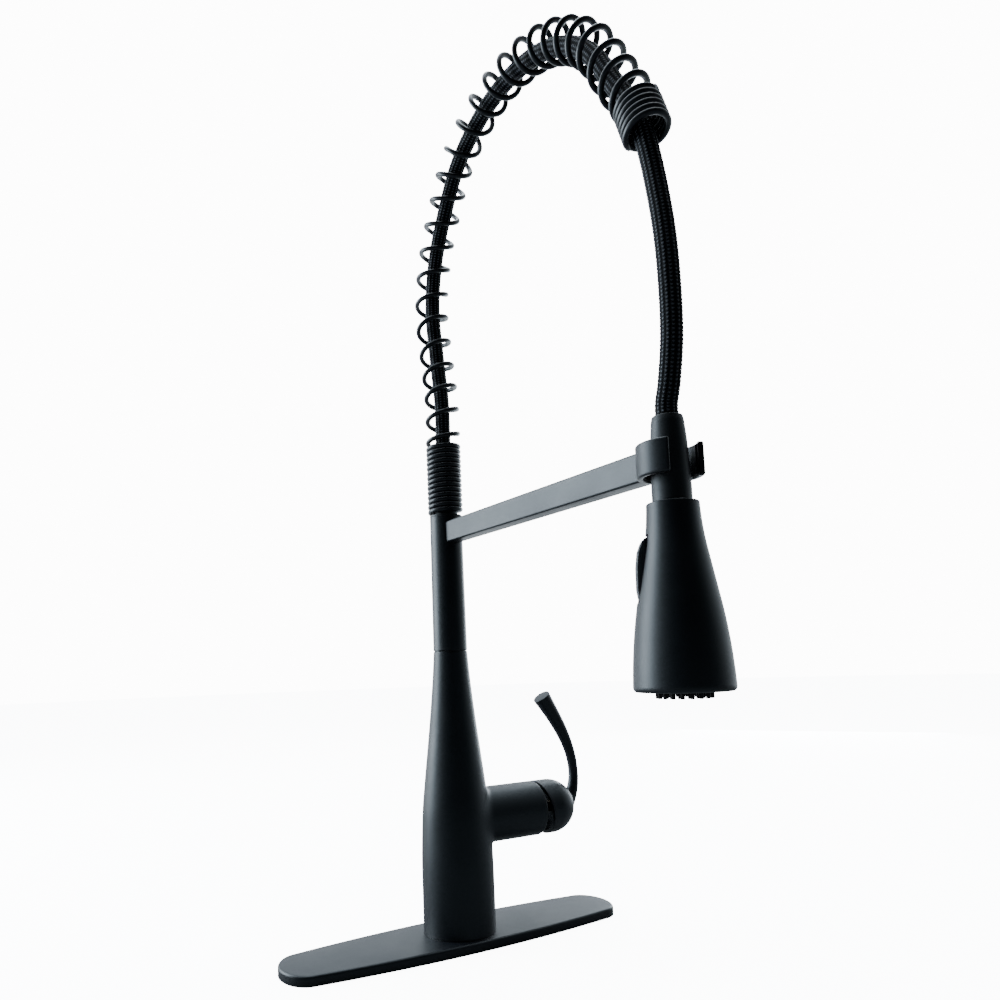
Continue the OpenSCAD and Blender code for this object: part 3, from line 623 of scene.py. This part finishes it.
def make_camera():
    yaw, pitch, roll = (math.radians(a) for a in (CAMERA_YAW, CAMERA_PITCH, CAMERA_ROLL))
    ahead = Vector((
        math.sin(yaw) * math.cos(pitch), math.cos(yaw) * math.cos(pitch), math.sin(pitch),
    ))
    level = Vector((math.cos(yaw), -math.sin(yaw), 0))
    above = level.cross(ahead)
    right = level * math.cos(roll) - above * math.sin(roll)
    up = level * math.sin(roll) + above * math.cos(roll)
    data = bpy.data.cameras.new("camera")
    data.sensor_width = CAMERA_SENSOR
    data.lens = CAMERA_LENS
    data.shift_x, data.shift_y = CAMERA_SHIFT
    camera = bpy.data.objects.new("camera", data)
    bpy.context.scene.collection.objects.link(camera)
    turn = Matrix((right, up, -ahead)).transposed().to_4x4()
    camera.matrix_world = Matrix.Translation(CAMERA_AT) @ turn
    bpy.context.scene.camera = camera


def seen_directly(nodes, links, seen, unseen):
    """Shader for what the lens sees, and another for what lights and is mirrored in the object."""
    path = nodes.new("ShaderNodeLightPath")
    mix = nodes.new("ShaderNodeMixShader")
    links.new(path.outputs["Is Camera Ray"], mix.inputs[0])
    links.new(unseen, mix.inputs[1])
    links.new(seen, mix.inputs[2])
    return mix.outputs[0]


def make_world():
    """White backdrop. What lights the object is dimmer on the photo camera's side."""
    world = bpy.data.worlds.new("surroundings")
    bpy.context.scene.world = world
    world.use_nodes = True
    nodes, links = world.node_tree.nodes, world.node_tree.links
    place = nodes.new("ShaderNodeTexCoord")
    front = dot_product(nodes, links, place.outputs["Generated"], [-c for c in BEHIND])
    strength = value_range(nodes, links, front, (-0.7, 0.3), (BACK_LIGHT, FRONT_LIGHT))
    background = nodes["Background"]
    background.inputs["Color"].default_value = (*COOL, 1)
    links.new(strength, background.inputs["Strength"])
    white = nodes.new("ShaderNodeBackground")
    white.inputs["Color"].default_value = (1, 1, 1, 1)
    white.inputs["Strength"].default_value = BACKDROP
    surface = seen_directly(nodes, links, white.outputs[0], background.outputs[0])
    links.new(surface, nodes["World Output"].inputs["Surface"])


def make_light(name, place, size, watts):
    data = bpy.data.lights.new(name, "AREA")
    data.shape = "RECTANGLE"
    data.size, data.size_y = size
    data.energy = watts
    data.color = COOL
    light = bpy.data.objects.new(name, data)
    bpy.context.scene.collection.objects.link(light)
    light.location = place
    towards = Vector(LIGHT_TARGET) - Vector(place)
    light.rotation_euler = towards.to_track_quat("-Z", "Y").to_euler()


def make_floor():
    """Wide pale disc at the height of the deck plate's underside."""
    turns = [2 * math.pi * k / FLOOR_SIDES for k in range(FLOOR_SIDES)]
    verts = [(r / MM * math.cos(a), r / MM * math.sin(a), 0) for r in FLOOR_RADII for a in turns]
    faces = skin_faces(len(FLOOR_RADII), FLOOR_SIDES) + [tuple(range(FLOOR_SIDES))]
    floor = mesh_object("floor", verts, faces)
    tidy_mesh(floor)
    pale = finish(
        "floor", (0.88, 0.89, 0.90), (0.91, 0.92, 0.93), (0.70, 0.80), 400, 0.05,
        specular=0.1, patch=6,
    )
    nodes, links = pale.node_tree.nodes, pale.node_tree.links
    shader = nodes["Principled BSDF"]
    shader.inputs["Emission Color"].default_value = (*FLOOR_TINT, 1)
    shader.inputs["Emission Strength"].default_value = FLOOR_GLOW
    dim = nodes.new("ShaderNodeBsdfDiffuse")
    dim.inputs["Color"].default_value = (*FLOOR_DIM, 1)
    glow = nodes.new("ShaderNodeEmission")
    glow.inputs["Color"].default_value = (*COOL, 1)
    place = nodes.new("ShaderNodeTexCoord")
    away = dot_product(nodes, links, place.outputs["Object"], BEHIND)
    far = value_range(nodes, links, away, FAR_SPAN, (0, FAR_GLOW))
    links.new(far, glow.inputs["Strength"])
    unseen = nodes.new("ShaderNodeAddShader")
    links.new(dim.outputs[0], unseen.inputs[0])
    links.new(glow.outputs[0], unseen.inputs[1])
    surface = seen_directly(nodes, links, shader.outputs[0], unseen.outputs[0])
    links.new(surface, nodes["Material Output"].inputs["Surface"])
    floor.data.materials.append(pale)


# ---- Pieces of the base ----

def body_field(p):
    heights = np.linspace(BODY[0][0], BODY[-1][0], 600)
    line = np.array(smooth_line(BODY, 12))
    radii = np.interp(heights, line[:, 0], line[:, 1])
    lean = np.gradient(radii, heights)
    x, y, z = p.T
    slant = np.sqrt(1 + np.interp(z, heights, lean) ** 2)
    column = (np.hypot(x, y) - np.interp(z, heights, radii)) / slant
    hub = np.maximum(np.hypot(y, z - HUB_Z) - HUB_R, -x)
    return smooth_min(column, hub, HUB_FILLET)


def make_body(foot, neck, hub_end):
    """Turned body that flows into its side hub, open at the neck and at the hub's end."""
    line = [(r, z) for z, r in smooth_line(BODY, 4)]
    line = [(AXIS_R, line[0][1])] + line + [(AXIS_R, line[-1][1])]
    column = lathe("body", line, segments=96)
    hub = loft("hub", [x_ring(x, HUB_R, 96) for x in (1, hub_end + SPARE)])
    body = joined([column, hub])
    remesh(body, BODY_VOXEL)
    settle(body, body_field)
    trim(body, (0, 0, foot), (0, 0, -1), [(0, -0.02)])
    edge = [(along * HUB_BEVEL, -inwards * HUB_BEVEL) for along, inwards in ROUND_EDGE]
    bore = HUB_BORE_R - HUB_R
    trim(body, (hub_end - HUB_BEVEL, 0, 0), (1, 0, 0), edge + [
        (HUB_BEVEL, bore), (HUB_BORE_X - hub_end + HUB_BEVEL, bore),
    ])
    bore = NECK_BORE_R - NECK_R
    trim(body, (0, 0, neck - NECK_LIP), (0, 0, 1), [
        (0.35, -0.1), (NECK_LIP, -0.45), (NECK_LIP, bore), (-NECK_DEPTH, bore),
    ])
    return body


def plate_outline(half_l, half_w, inset):
    end_l = half_l - PLATE_FLAT
    quarter = []
    for i in range(24):
        t = i / 24
        quarter.append((t * PLATE_FLAT, half_w - inset - (half_w - PLATE_END_W) * t * t))
    for degrees in range(0, 91, 5):
        a = math.radians(degrees)
        x, y = (end_l - inset) * math.sin(a), (PLATE_END_W - inset) * math.cos(a)
        quarter.append((PLATE_FLAT + x, y))
    below = [(x, -y) for x, y in reversed(quarter[:-1])]
    left = [(-x, -y) for x, y in quarter[1:]]
    above = [(-x, y) for x, y in reversed(quarter[1:-1])]
    return quarter + below + left + above


def make_plate(low, high):
    """Deck plate with a rounded upper edge, hollow below, with a boss round its bore."""
    half_l, half_w, top, bottom = high.x / MM, high.y / MM, high.z / MM, low.z / MM

    def layer(z, inset):
        return [(x, y, z) for x, y in plate_outline(half_l, half_w, inset)]

    rings = [layer(bottom, PLATE_FOOT_EDGE), layer(bottom + PLATE_FOOT_EDGE, 0)]
    for k in range(9):
        a = math.radians(90 * k / 8)
        rings.append(layer(top - PLATE_EDGE + PLATE_EDGE * math.sin(a),
                           PLATE_EDGE * (1 - math.cos(a))))
    plate = loft("plate", rings)
    hollow = loft("hollow", [layer(z, PLATE_WALL) for z in (-OVERCUT, top - PLATE_ROOF)])
    cut(hollow, rod("boss", PLATE_BOSS_R, -OVERCUT - 1, top))
    cut(plate, hollow)
    cut(plate, rod("bore", PLATE_BORE_R, -OVERCUT - 1, top + OVERCUT))
    return plate


# ---- Handle ----

def lever_line():
    """Middle line of the lever with its spare end, and the level heading of its tip."""
    line = smooth_line(LEVER, 6)
    ahead = line[-1] - line[-2]
    ahead[2] = 0
    ahead /= np.linalg.norm(ahead)
    return line + [line[-1] + LEVER_SPARE * ahead], ahead


def handle_field(p):
    x, y, z = p.T
    dome = np.sqrt(np.maximum(x - DOME_X, 0) ** 2 + y**2 + (z - HUB_Z) ** 2) - HUB_R
    lever = np.full(len(p), np.inf)
    line, _ = lever_line()
    for a, b in zip(line, line[1:]):
        start, run = np.array([a[0], 0, a[1]]), np.array([b[0] - a[0], 0, b[1] - a[1]])
        t = np.clip((p - start) @ run / (run @ run), 0, 1)
        gap = np.linalg.norm(p - start - t[:, None] * run, axis=1)
        lever = np.minimum(lever, gap - (a[2] + (b[2] - a[2]) * t))
    return smooth_min(dome, lever, LEVER_FILLET)


def lever_skin(line, sides=24):
    rings = []
    for i, (x, z, radius) in enumerate(line):
        before, after = line[max(i - 1, 0)], line[min(i + 1, len(line) - 1)]
        run = np.array([after[0] - before[0], after[1] - before[1]])
        run /= np.linalg.norm(run)
        ring = []
        for k in range(sides):
            a = 2 * math.pi * k / sides
            out = radius * math.cos(a)
            ring.append((x + out * run[1], radius * math.sin(a), z - out * run[0]))
        rings.append(ring)
    return loft("lever", rings)


def make_handle():
    """Dome that flows into a horn-shaped lever with a flat round tip; the dome's rim leans."""
    line, ahead = lever_line()
    turns = [math.radians(degrees) for degrees in range(0, 90, 5)]
    outline = [(PIVOT_X - SPARE, HUB_R)]
    outline += [(DOME_X + HUB_R * math.sin(a), HUB_R * math.cos(a)) for a in turns]
    outline += [(DOME_X + HUB_R, AXIS_R)]
    dome = loft("handle", [x_ring(x, r, 72) for x, r in outline])
    handle = joined([dome, lever_skin(line)])
    remesh(handle, HANDLE_VOXEL)
    settle(handle, handle_field)
    tip_x, tip_z, _ = LEVER[-1]
    tip = (tip_x - TIP_EDGE * ahead[0], 0, tip_z - TIP_EDGE * ahead[1])
    trim(handle, tip, (ahead[0], 0, ahead[1]), [
        (0.25, -0.08), (0.42, -0.25), (TIP_EDGE, -TIP_EDGE),
    ])
    lean = math.radians(RIM_LEAN)
    rim = (RIM_TOP_X, 0, HUB_Z + HUB_R)
    trim(handle, rim, (-math.cos(lean), 0, -math.sin(lean)), [
        (-0.05, -0.15), (0.1, -0.4), (0.1, -DOME_WALL), (-DOME_DEPTH, -DOME_WALL),
    ])
    low, high = HUB_Z - HUB_R - SPARE, HUB_Z - SCREW_END
    cut(handle, rod("screw_hole", SCREW_R, low, high, (SCREW_X, 0), 40))
    return handle


# ---- Riser, arm and clip ----

def make_riser(low, high):
    """Slightly tapered tube with a small rounded foot."""
    top, bottom = high.z / MM, low.z / MM
    return lathe("riser", rounded([
        (RISER_BORE_R, bottom), (RISER_FOOT_R, bottom, 0.5),
        (RISER_FOOT_R, bottom + RISER_FOOT_H, 0.3), (RISER_R, top, 0.5), (RISER_TOP_BORE_R, top),
        (RISER_TOP_BORE_R, RISER_STEP_Z), (RISER_BORE_R, RISER_STEP_Z),
    ]))


def make_arm(head_y):
    """Bar with rounded edges between the riser and the clip."""
    w, h = ARM_W / 2, ARM_H / 2
    corners = [(w, -h), (w, h), (-w, h), (-w, -h)]
    section = rounded([(x, z, ARM_EDGE) for x, z in corners], 6, closed=True)
    low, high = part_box("docking_arm")
    mid = (low.z + high.z) / 2 / MM
    clip_y = head_y + CLIP_R
    stations = [
        -RISER_R + ARM_IN_RISER, -RISER_R - 1, -RISER_R - 4, -60, -120, -180, clip_y + 4,
        clip_y - ARM_IN_CLIP,
    ]
    return loft("arm", [[(x, y, mid + z) for x, z in section] for y in stations])


def make_clip(head_y):
    """Open ring with rounded edges and a wide mouth towards -Y."""
    outline = rounded([
        (CLIP_BORE, CLIP_LOW, CLIP_EDGE_IN), (CLIP_R, CLIP_LOW, CLIP_EDGE_OUT),
        (CLIP_R, CLIP_HIGH, CLIP_EDGE_OUT), (CLIP_BORE, CLIP_HIGH, CLIP_EDGE_IN),
    ], 5, closed=True)
    middle = ((CLIP_BORE + CLIP_R) / 2, (CLIP_LOW + CLIP_HIGH) / 2)
    mouth = math.asin(CLIP_GAP / ((CLIP_R + CLIP_BORE) / 2))
    start, end = -math.pi / 2 + mouth, 1.5 * math.pi - mouth
    ease = CLIP_END / CLIP_R

    def ring(angle, shrink):
        x, y = math.cos(angle), math.sin(angle)
        return [(r * x, head_y + r * y, z) for r, z in shrunk(outline, middle, shrink)]

    rings = [ring(start + ease * share, shrink) for share, shrink in CLIP_END_RINGS]
    for k in range(1, CLIP_STEPS):
        rings.append(ring(start + (end - start) * k / CLIP_STEPS, 0))
    rings += [ring(end - ease * share, shrink) for share, shrink in reversed(CLIP_END_RINGS)]
    return loft("clip", rings)


# ---- Spring and hose ----

def coil_axis(turn):
    """Coil centre and heading, as y and z, at a number of turns after the route's start."""
    if turn < 0:
        return np.array([ROUTE[0][0], ROUTE[0][1] + turn * COIL_PITCH]), np.array([0.0, 1.0])
    if turn > OPEN_TURNS:
        ahead = np.array(COLLAR_DIR)
        return np.array(ROUTE[-1]) + ahead * (turn - OPEN_TURNS) * COIL_PITCH, ahead
    i = min(int(turn // 2), len(ROUTE) - 2)
    t = turn / 2 - i
    ahead = blend_point(ROUTE, i, min(t + 0.01, 1)) - blend_point(ROUTE, i, max(t - 0.01, 0))
    return blend_point(ROUTE, i, t), ahead / np.linalg.norm(ahead)


def make_spring():
    """One wire from the riser to the collar, with rounded ends."""
    count = int((BASE_TURNS + OPEN_TURNS + COLLAR_TURNS) * COIL_STEPS)
    rings = []
    for i in range(count + 1):
        turn = -BASE_TURNS + i / COIL_STEPS
        centre, ahead = coil_axis(turn)
        angle = math.radians(COIL_PHASE + 360 * turn)
        out = np.array([
            math.cos(angle), math.sin(angle) * ahead[1], -math.sin(angle) * ahead[0],
        ])
        along = np.array([0, ahead[0], ahead[1]])
        middle = np.array([0, centre[0], centre[1]]) + COIL_MID * out
        wire = WIRE_R * WIRE_END[min(i, count - i, len(WIRE_END) - 1)]
        ring = []
        for k in range(WIRE_SIDES):
            a = -2 * math.pi * k / WIRE_SIDES
            ring.append(middle + wire * (math.cos(a) * along + math.sin(a) * out))
        rings.append(ring)
    return loft("coil_spring", rings)


def braid_height(u, v):
    """Height from 0 to 1 of the woven sleeve: columns of strand crowns, each a slanted bump.

    u counts columns round the hose, and v counts crowns along it.
    """
    across = u - math.floor(u)
    slant = STRAND_SLANT * abs(2 * across - 1)
    column = math.sin(math.pi * across) ** 0.8
    crown = abs(math.sin(math.pi * (v + slant)))
    return column * (STRAND_LOW + (1 - STRAND_LOW) * crown)


def make_hose():
    sides = BRAID_ROUND * CROWN_SIDES
    line, length = even_line(HOSE, BRAID_PITCH / CROWN_STEPS)
    ahead = np.gradient(line, axis=0)
    ahead /= np.linalg.norm(ahead, axis=1)[:, None]
    heights = np.array([
        [braid_height(BRAID_ROUND * k / sides, i / CROWN_STEPS) for k in range(sides)]
        for i in range(CROWN_STEPS)
    ])
    verts = []
    for i, ((y, z), (run_y, run_z)) in enumerate(zip(line, ahead)):
        for k in range(sides):
            r = HOSE_R - BRAID_H * (1 - heights[i % CROWN_STEPS][k])
            a = 2 * math.pi * k / sides
            across = r * math.sin(a)
            verts.append((r * math.cos(a), y + across * run_z, z - across * run_y))
    faces = skin_faces(len(line), sides) + cap_faces(len(line), sides)
    hose = mesh_object("braided_hose", verts, faces)
    # Crown height, which also places the braid finish's painted shade in the gaps and painted
    # highlight on the crowns
    crowns = np.tile(heights.ravel(), len(line) // CROWN_STEPS + 1)[:len(verts)]
    braid = hose.data.attributes.new("braid", "FLOAT", "POINT")
    braid.data.foreach_set("value", crowns.astype(np.float32))
    hose.data.shade_smooth()
    kept = list(range(0, len(line) - 1, PATH_EVERY)) + [len(line) - 1]
    centres = [(0.0, MM * float(line[i][0]), MM * float(line[i][1])) for i in kept]
    return hose, centres, length * MM


def bend_hose(hose):
    """Bakes the hose's placement into its mesh.
    """
    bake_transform(hose)


# ---- Spray head ----

def make_nut(centre, low, high):
    """Slender cone that the clip holds, closed round the hose at its top."""
    top, bottom = high.z / MM, low.z / MM
    outline = [(NUT_BORE_R, bottom), (NUT[0][0], bottom, 0.4)] + NUT
    outline += [
        (NUT_TOP_R, top, 0.8), (NUT_MOUTH_R, top, 0.3), (NUT_MOUTH_R, top - 0.5),
        (NUT_BORE_R, top - 1),
    ]
    return lathe("hose_nut_cover", rounded(outline), centre)


def toggle_axes(centre):
    """Axes of the toggle: X points from the head's axis through the middle of its slot."""
    place = Matrix.Translation((centre[0], centre[1], 0))
    return place @ Matrix.Rotation(math.radians(90 + TOGGLE_TURN), 4, "Z")


def make_head(centre, top):
    """Bell-shaped shell with a slot for the toggle button."""
    outer = [(r, z) for z, r in smooth_line(HEAD, 6)]
    inner = [(r - HEAD_WALL, z) for r, z in outer if z < HEAD_ROOF_Z]
    outline = HEAD_LIP + outer + [(r, top - depth) for r, depth in HEAD_EDGE]
    outline += [(HEAD_BORE, top), (HEAD_BORE, HEAD_ROOF_Z)] + list(reversed(inner))
    head = lathe("head", outline, centre, segments=160)
    half = TOGGLE_HALF + TOGGLE_GAP
    low, high = (SLOT_IN, -half, SLOT_LOW), (SLOT_OUT, half, SLOT_HIGH)
    cut(head, box_mesh("slot", low, high, toggle_axes(centre)))
    return head


def make_toggle(centre):
    """Push button whose outline follows the bell, with rounded edges."""
    outline = rounded(TOGGLE, 5, closed=True)
    axes = toggle_axes(centre)
    sections = TOGGLE_SIDES + [(-share, shrink) for share, shrink in reversed(TOGGLE_SIDES)]
    return loft("toggle", [
        [axes @ Vector((r, share * TOGGLE_HALF, z))
         for r, z in shrunk(outline, TOGGLE_MIDDLE, shrink)]
        for share, shrink in sections
    ])


def make_face(centre):
    """Spray face with moulded ribs between its rows of holes."""
    outline = [(r, FACE_Z - depth, *corner) for r, depth, *corner in FACE]
    outline += [(DISC_R, FACE_Z + FACE_H), (DISC_BORE, FACE_Z + FACE_H)]
    return lathe("face_disc", rounded(outline), centre)


def make_nozzles(centre):
    """Soft nozzles with a collar, a tapered tip and a drilled mouth."""
    outline = [
        (AXIS_R, FACE_Z + FACE_H), (1.6, FACE_Z + FACE_H), (1.6, FACE_Z), (1.55, FACE_Z - 0.5),
        (1.35, FACE_Z - 0.75), (NOZZLE_R + 0.1, FACE_Z - 0.9), (NOZZLE_R, NOZZLE_LOW + 0.5),
        (0.95, NOZZLE_LOW + 0.15), (0.8, NOZZLE_LOW), (0.5, NOZZLE_LOW),
        (0.42, NOZZLE_LOW + 0.25), (AXIS_R, NOZZLE_LOW + 0.9),
    ]
    tips = []
    for radius, number in NOZZLE_RINGS:
        for i in range(number):
            a = 2 * math.pi * i / number
            place = (centre[0] + radius * math.cos(a), centre[1] + radius * math.sin(a))
            tips.append(lathe("nozzle", outline, place, segments=20))
    nozzles = joined(tips)
    tidy_mesh(nozzles)
    return nozzles


def make_aerator_screen(centre):
    """Square mesh of the aerator, a little inside its rim."""
    x, y = centre
    bars = []
    for k in range(-SCREEN_WIRES, SCREEN_WIRES + 1):
        offset = k * SCREEN_STEP
        span = math.sqrt(SCREEN_R**2 - offset**2)
        low, high = offset - SCREEN_HALF, offset + SCREEN_HALF
        bottom, top = SCREEN_Y_Z
        bars.append(box_mesh("bar", (x + low, y - span, bottom), (x + high, y + span, top)))
        bottom, top = SCREEN_X_Z
        bars.append(box_mesh("bar", (x - span, y + low, bottom), (x + span, y + high, top)))
    return joined(bars)


# ---- Assembly ----

def build(materials):
    """Makes each piece, lets it ride on its body and hides the CAD nodes that it stands for."""
    head_low, head_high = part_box("head_shell")
    centre = ((head_low.x + head_high.x) / 2 / MM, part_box("face_ring")[0].y / MM + FACE_RIM_R)
    body_low, body_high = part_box("body_shell")
    body = make_body(body_low.z / MM, body_high.z / MM, body_high.x / MM)
    pieces = [
        (body, "base", "matte_black", "body_shell"),
        (make_plate(*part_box("deck_plate")), "base", "matte_black", "deck_plate"),
        (make_handle(), "handle", "matte_black", "handle_lever"),
        (make_riser(*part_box("riser_tube")), "spout", "matte_black", "riser_tube"),
        (make_arm(centre[1]), "spout", "matte_black", "docking_arm"),
        (make_clip(centre[1]), "spout", "matte_black", "docking_clip"),
        (make_spring(), "spout", "spring_black", "spring_base", "spring_rise", "spring_bend",
         "spring_crown", "spring_fall", "spring_collar"),
        (make_nut(centre, *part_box("hose_nut")), "hose_end", "black_plastic", "hose_nut"),
        (make_head(centre, head_high.z / MM), "spray_head", "matte_black", "head_shell"),
        (make_toggle(centre), "toggle", "matte_black", "toggle_button"),
        (lathe("face_rim", rounded(FACE_RIM), centre), "spray_head", "matte_black", "face_ring"),
        (make_face(centre), "spray_head", "black_plastic", "spray_plate"),
        (make_nozzles(centre), "spray_head", "rubber", "nozzle_mat"),
        (make_aerator_screen(centre), "spray_head", "steel"),
    ]
    for obj, body, slot, *nodes in pieces:
        paint(obj, materials, slot)
        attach(obj, body)
        if nodes:
            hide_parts(*nodes)


def build_hose(materials):
    hose, centres, length = make_hose()
    paint(hose, materials, "hose_braid")
    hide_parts("neck_hose")
    bend_hose(hose)


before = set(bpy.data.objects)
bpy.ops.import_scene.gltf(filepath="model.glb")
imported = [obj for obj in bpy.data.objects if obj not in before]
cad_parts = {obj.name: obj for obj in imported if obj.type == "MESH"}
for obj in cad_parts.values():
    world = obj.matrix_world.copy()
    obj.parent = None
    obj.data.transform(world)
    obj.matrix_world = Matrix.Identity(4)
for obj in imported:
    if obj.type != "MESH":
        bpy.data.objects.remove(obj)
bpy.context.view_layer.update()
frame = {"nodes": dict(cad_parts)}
all_materials = make_materials()
make_camera()
build_hose(all_materials)
paint_nodes(frame["nodes"], all_materials)
build(all_materials)
make_world()
for light_values in LIGHTS:
    make_light(*light_values)
make_floor()
